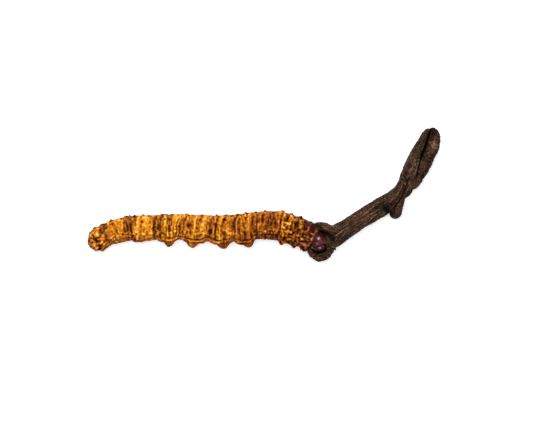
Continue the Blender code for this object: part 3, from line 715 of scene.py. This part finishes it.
NAPE_LOBE = (
    (45.4, 0.35, 2.5, 0.9, 1), (43.9, -0.32, 2.65, 0.95, 1.1), (42.6, -0.28, 2.75, 0.9, 1.15),
    (41.3, 0.26, 2.75, 0.86, 1.2), (40.3, 0.52, 2.65, 0.66, 1.15), (39.55, 0.55, 2.5, 0.45, 0.9),
)
NECK_Y = 7.0  # the left strand is cut here into the stalk and the club's left lobe
RIDGE_SPACING, RIDGE_TWIST = 0.36, 0.05  # mm between the main ridges, and their turn in each 8 mm
# The deep creases seen from above, as points on them: the fold between the club's lobes, the crease and the
# hollow at the elbow, and the hollow at the nape. They are cut into the upper side alone.
CLUB_FOLD = ((57.3, 8.7), (57.42, 9.15), (58.5, 12.8), (59.25, 14.8), (60.15, 17.8))
ELBOW_FOLD = ((53.4, 3.5), (54.4, 4.75), (54.95, 5.7), (55.6, 7.2), (56.2, 8.9))
ELBOW_HOLLOW = ((52, 3.6), (52.5, 3.2), (53, 2.55))
NAPE_HOLLOW = ((40.9, -0.45), (42, -0.9), (42.9, -1.8))
# The half width and the depth of the club's fold at each Y, for it gapes towards the tip, and the same for
# the others; how deep a fold sinks, and how far the skin swells beside it
CLUB_GAPE = ((8, 0.14), (12, 0.2), (13.2, 0.4), (15.5, 0.34), (17.5, 0.22))
CLUB_DEPTH = ((9, 0.6), (12, 0.8), (13.2, 1.5))
ELBOW_GAPE, ELBOW_DEPTH, HOLLOW_RADIUS, NAPE_GAPE = 0.2, 0.85, 0.85, 0.52
FOLD_DEPTH, FOLD_SWELL, UPPER_SIDE = 0.4, 0.16, 1.0
# Where fibres are rubbed light, or stained dark: the two ends, the half width and the strength
FIBRES = (
    ((43.5, -1.1), (44.6, -0.35), 0.14, 0.55), ((43.3, -0.2), (44.3, 0.5), 0.12, 0.3),
    ((39.9, 0.75), (40.9, 0.15), 0.25, -0.4), ((41.6, 0.45), (43.1, 0.2), 0.2, 0.15),
    ((41.3, -0.1), (43, -0.3), 0.2, 0.1), ((56.05, 8.35), (56.6, 7.2), 0.13, 0.5),
    ((57.25, 9.4), (57.95, 12), 0.3, 0.4), ((55.4, 8), (55.7, 7.6), 0.25, 0.3),
    ((56, 9.2), (57.3, 12), 0.6, 0.14), ((57, 13.5), (58.8, 16.8), 0.6, -0.12),
    ((48.5, 1.4), (50.5, 2.6), 0.12, 0.25), ((46.2, 1.2), (49, 3), 0.12, 0.25),
    ((59.8, 13.2), (60.8, 14.9), 0.9, 0.25), ((58.3, 9.2), (59.7, 11.8), 1, -0.2),
    ((60, 15.9), (60.6, 17.2), 0.8, -0.28), ((51.3, 4.4), (53.2, 4.4), 0.9, -0.15),
)
# A broken fibre that stands out beside the collar
SPUR_PLACE, SPUR_RADIUS, SPUR_HEADING, SPUR_REACH = (43.05, -3.25), 0.4, (0.6, -0.8), 0.6
LEFT_ROWS = 560


def near_line(grid, line):
    """Distance in the XY plane from each point of a grid to the nearest place on a line of straight parts."""
    nearest = np.full(grid.shape[:-1], np.inf)
    for start, end in zip(np.array(line[:-1]), np.array(line[1:])):
        reach = end - start
        share = rise((grid[..., :2] - start) @ reach / (reach @ reach))
        away = np.linalg.norm(grid[..., :2] - start - share[..., None] * reach, axis=-1)
        nearest = np.minimum(nearest, away)
    return nearest


def strand(stations, rows, columns, seed, pebbly_from=99.0):
    """A round-ended tube carried along stations of x, y, z and two radii, as a function of the length along
    it and the angle round it. Long ridges, creases and grit are added to its radii, and beyond a given length
    the ridges give way to pebbles. It sinks along the deep creases, with painted shade there, and its ridges
    and grooves carry painted highlight and painted shade."""
    stations = np.array(stations)
    steps = np.linalg.norm(np.diff(stations[:, :3], axis=0), axis=1)
    knots = np.concatenate([[0], np.cumsum(steps)])
    s = knots[-1] * (1 - np.cos(np.linspace(0, np.pi, rows + 2)[1:-1])) / 2
    lane = through(knots, stations, s)
    centres, across, up = lane[:, :3], lane[:, 3:4], lane[:, 4:5]
    heading = np.gradient(centres, s, axis=0)
    side = np.cross([0.0, 0.0, 1.0], heading)
    side /= np.linalg.norm(side, axis=1)[:, None]
    angle = np.arange(columns)[None, :] * 2 * np.pi / columns
    along = s[:, None] + 0 * angle
    turn = angle / (2 * np.pi) + RIDGE_TWIST * along / 8 + 0.02 * rough(along / 2, 0 * along, 1, seed)
    ridges = max(6, round(2 * np.pi * float(across.mean()) / RIDGE_SPACING))

    def pattern(length, around, number):
        """Random height with features so many mm long, and so many of them around the strand."""
        return rough(along / length, turn * around, around, seed + number)

    broad, narrow, grit = pattern(4.0, ridges, 1), pattern(1.8, 2 * ridges, 2), pattern(0.22, 2 * ridges, 3)
    pebbles, lumps = np.abs(pattern(0.42, round(0.9 * ridges), 4)), pattern(1.4, 5, 5)
    clouds = pattern(1.6, 5, 6) + 0.6 * pattern(0.55, 15, 7)
    pebbly = rise((along - pebbly_from) / 2.5)
    creases = np.exp(-((narrow / 0.13) ** 2))
    relief = (1 - 0.75 * pebbly) * (0.06 * broad + 0.03 * narrow - 0.08 * creases)
    relief += pebbly * 0.13 * (pebbles - 0.35)
    relief += 0.025 * grit + 0.05 * lumps
    end = np.minimum(s, knots[-1] - s)[:, None]
    rounding = np.sqrt(1 - (1 - np.minimum(end / across, 1)) ** 2)
    grid = centres[:, None] + (rounding * (across + relief) * np.cos(angle))[..., None] * side[:, None]
    grid[..., 2] += rounding * (up + relief) * np.sin(angle)

    to_club_fold, to_elbow_fold = near_line(grid, CLUB_FOLD), near_line(grid, ELBOW_FOLD)
    club_fold = at_place(CLUB_DEPTH, grid[..., 1]) * bump(to_club_fold / at_place(CLUB_GAPE, grid[..., 1]))
    folded = np.maximum(np.minimum(club_fold, 1), ELBOW_DEPTH * bump(to_elbow_fold / ELBOW_GAPE))
    folded = np.maximum(folded, bump(near_line(grid, ELBOW_HOLLOW) / HOLLOW_RADIUS))
    above = grid[..., 2] > UPPER_SIDE
    folded = np.maximum(folded, bump(near_line(grid, NAPE_HOLLOW) / NAPE_GAPE)) * above
    swollen = bump(to_club_fold / 1.1) + bump(to_elbow_fold / 0.9)
    grid[..., 2] += (FOLD_SWELL * swollen - FOLD_DEPTH * folded) * above
    grid[..., 2] = np.maximum(grid[..., 2], 0)
    above = grid[..., 2] > UPPER_SIDE

    # Painted highlight on the raised fibres and painted shade in the grooves: the relief against its local
    # mean
    ridge = np.clip((relief - softened(relief, 3, 3)) / 0.06, -1, 1)
    wear_and_painted_light = 0.45 + 0.34 * ridge + 0.1 * broad + 0.14 * narrow + 0.16 * grit + (0.08 + 0.08 * pebbly) * clouds
    for start, finish, half_width, strength in FIBRES:
        rubbed = strength * bump(near_line(grid, (start, finish)) / half_width) * above
        wear_and_painted_light, clouds = wear_and_painted_light + rubbed, clouds + 2 * rubbed
    # Painted shade in the deep creases
    marks = {
        "wear_and_painted_light": rise(wear_and_painted_light) * (1 - 0.9 * folded),
        "rust": rise(0.3 + 0.3 * lumps + 0.25 * clouds - 0.25 * pebbly),
    }
    return grid, centres[[0, -1]], marks


def part_of(grid, ends, marks, first, last):
    """Rows of a strand from first to last, closed by the middles of the rows at its two ends."""
    cut = grid[first:last]
    near_end = ends[0] if first == 0 else cut[0].mean(axis=0)
    far_end = ends[1] if last >= len(grid) else cut[-1].mean(axis=0)
    return cut, [near_end, far_end], {mark: values[first:last] for mark, values in marks.items()}


# Dried stroma is woody fungus tissue, matte and dark grey brown, rubbed light or stained in places. Painted
# highlight lightens its raised fibres, and painted shade darkens its grooves and creases.
GREY_BROWN = ((0, "0A0604"), (0.25, "231711"), (0.5, "3B2B21"), (0.75, "553F31"), (1, "7E5E48"))
RED_BROWN = ((0, "0C0603"), (0.25, "29180F"), (0.5, "462D1F"), (0.75, "654330"), (1, "926848"))
dried_stroma, tree, out = new_material("dried_stroma")
place = add(tree, "TexCoord").outputs["Object"]
wear_and_painted_light, rust = (add(tree, "Attribute", attribute_name=mark).outputs["Fac"] for mark in ("wear_and_painted_light", "rust"))
FLECKS, STROMA_GRIT = 0.3, 0.13  # mm across its flecks and its grit, drawn coarser than it is, to show
flecks = add(
    tree, "TexNoise", {"Scale": 1 / (FLECKS * METRES), "Detail": 4, "Roughness": 0.65}, {"Vector": place},
)
flecked = add(
    tree, "MapRange", {"From Min": 0.3, "From Max": 0.7, "To Min": -0.16, "To Max": 0.16},
    {"Value": flecks.outputs["Fac"]},
)
shade = add(tree, "Math", wires={0: wear_and_painted_light, 1: flecked.outputs["Result"]}, operation="ADD", use_clamp=True)
grey_brown, red_brown = (
    add(tree, "ValToRGB", wires={"Fac": shade.outputs[0]}, stops=stops).outputs["Color"]
    for stops in (GREY_BROWN, RED_BROWN)
)
bark = add(tree, "Mix", wires={"Factor": rust, "A": grey_brown, "B": red_brown}, data_type="RGBA")
grit = add(tree, "TexNoise", {"Scale": 1 / (STROMA_GRIT * METRES), "Detail": 3}, {"Vector": place})
raised = add(tree, "Bump", {"Strength": 0.5, "Distance": 0.05 * METRES}, {"Height": grit.outputs["Fac"]})
surface = add(
    tree, "BsdfPrincipled", {"Roughness": 0.65, "IOR": 1.5, "Specular IOR Level": 0.03},
    {"Base Color": bark.outputs["Result"], "Normal": raised.outputs[0]},
)
tree.links.new(surface.outputs[0], out.inputs["Surface"])

grid, ends, marks = strand(LEFT_STRAND, LEFT_ROWS, columns=150, seed=31, pebbly_from=19.5)
neck_row = int(np.searchsorted(grid.mean(axis=1)[:, 1], NECK_Y))
spur = bump(np.linalg.norm(grid[..., :2] - SPUR_PLACE, axis=-1) / SPUR_RADIUS)
grid[..., :2] += SPUR_REACH * spur[..., None] * SPUR_HEADING
stalk = shell("stroma_stalk_bark", *part_of(grid, ends, marks, 0, neck_row + 1), dried_stroma)
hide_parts("stroma_stalk")
left_lobe = shell("club_left_lobe", *part_of(grid, ends, marks, neck_row, LEFT_ROWS), dried_stroma)
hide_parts("stroma_club")

grid, ends, marks = strand(RIGHT_LOBE, rows=260, columns=150, seed=47, pebbly_from=0.0)
marks["rust"] = rise(marks["rust"] * 1.6 + 0.15)  # the right lobe is redder
right_lobe = shell("club_right_lobe", grid, ends, marks, dried_stroma)
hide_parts("stroma_club")

grid, ends, marks = strand(STUB, rows=200, columns=120, seed=53)
marks["wear_and_painted_light"], marks["rust"] = marks["wear_and_painted_light"] * 0.85, marks["rust"] * 0.5  # the stub is darker and greyer
stub = shell("elbow_stub", grid, ends, marks, dried_stroma)
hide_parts("stroma_stalk")

nape_lobe = shell("nape_lobe", *strand(NAPE_LOBE, rows=180, columns=120, seed=61), dried_stroma)
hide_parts("stroma_stalk")


# The collar.
# Where the stalk left the larva's head, the fungus swelled into a ball around the far side of the head. Its
# wrinkles run round the ball, and it ends in a lip against the head shell.
COLLAR_CENTRE = np.array([40.72, -3.5, 2.08])
COLLAR_RADII = (2.32, 2.22, 2.1)
SOCKET_DEPTH, SOCKET_GAP, LIP_HEIGHT = 1.3, 0.02, 0.12
COLLAR_ROWS, COLLAR_COLUMNS = 190, 240


def collar_relief(down, round_it, unit):
    """Creases that run round the ball from body to stalk, with small lumps, as shares of the radius."""
    band = (unit[..., 1] + 0.25 * unit[..., 0] ** 2) * 6
    creases = rough(band + 0.4 * rough(down * 3, round_it / np.pi * 4, 8, 71), round_it / np.pi * 5, 10, 72)
    lumps = rough(down * 5, round_it / (2 * np.pi) * 14, 14, 73)
    fine = rough(down * 22, round_it / (2 * np.pi) * 70, 70, 74)
    return 0.045 * creases - 0.06 * np.exp(-((creases / 0.16) ** 2)) + 0.035 * lumps + 0.02 * fine


grid, ends, height = egg(COLLAR_CENTRE, COLLAR_RADII, 0.0, collar_relief, COLLAR_ROWS, COLLAR_COLUMNS)
# The socket is sunk into the ball's upper side around the head shell, with a ragged lip. The distance from
# the head's middle is a share of the head's own radii, once its lean is turned back.
lean = np.array([[math.cos(HEAD_LEAN), -math.sin(HEAD_LEAN)], [math.sin(HEAD_LEAN), math.cos(HEAD_LEAN)]])
beyond, beside = np.moveaxis((grid - HEAD_CENTRE)[..., :2] @ lean, -1, 0)
socket = np.hypot(beyond / (HEAD_RADII[0] + SOCKET_GAP), beside / (HEAD_RADII[1] + SOCKET_GAP))
round_socket = np.arctan2(beside, beyond) / (2 * np.pi) + 0.5
ragged = rough(0 * socket, round_socket * 14, 14, 76) + 0.5 * rough(0 * socket, round_socket * 31, 31, 77)
socket = socket + 0.06 * ragged
above = grid[..., 2] > COLLAR_CENTRE[2]
inside, lip = rise((1.04 - socket) / 0.14) * above, bump((socket - 1.14) / 0.16) * above
grid[..., 2] += LIP_HEIGHT * lip * (1 + ragged) - SOCKET_DEPTH * inside**2 * (3 - 2 * inside)
grid[..., 2] = np.maximum(grid[..., 2], 0)
ridge = np.clip((height - softened(height, 4, 4)) / 0.03, -1, 1)
# Painted highlight on the ridges and high places, and painted shade in the socket under the head
marks = {
    "wear_and_painted_light": rise(0.38 + 0.5 * ridge + 3 * height + 0.12 * lip * ragged) * (1 - 0.7 * inside),
    "rust": rise(0.5 + 0.5 * rough(grid[..., 0] * 1.2 + 9, grid[..., 1] * 1.2 + 9, 8, 75)),
}
collar = shell("collar", grid, ends, marks, dried_stroma)
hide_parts("stroma_stalk")
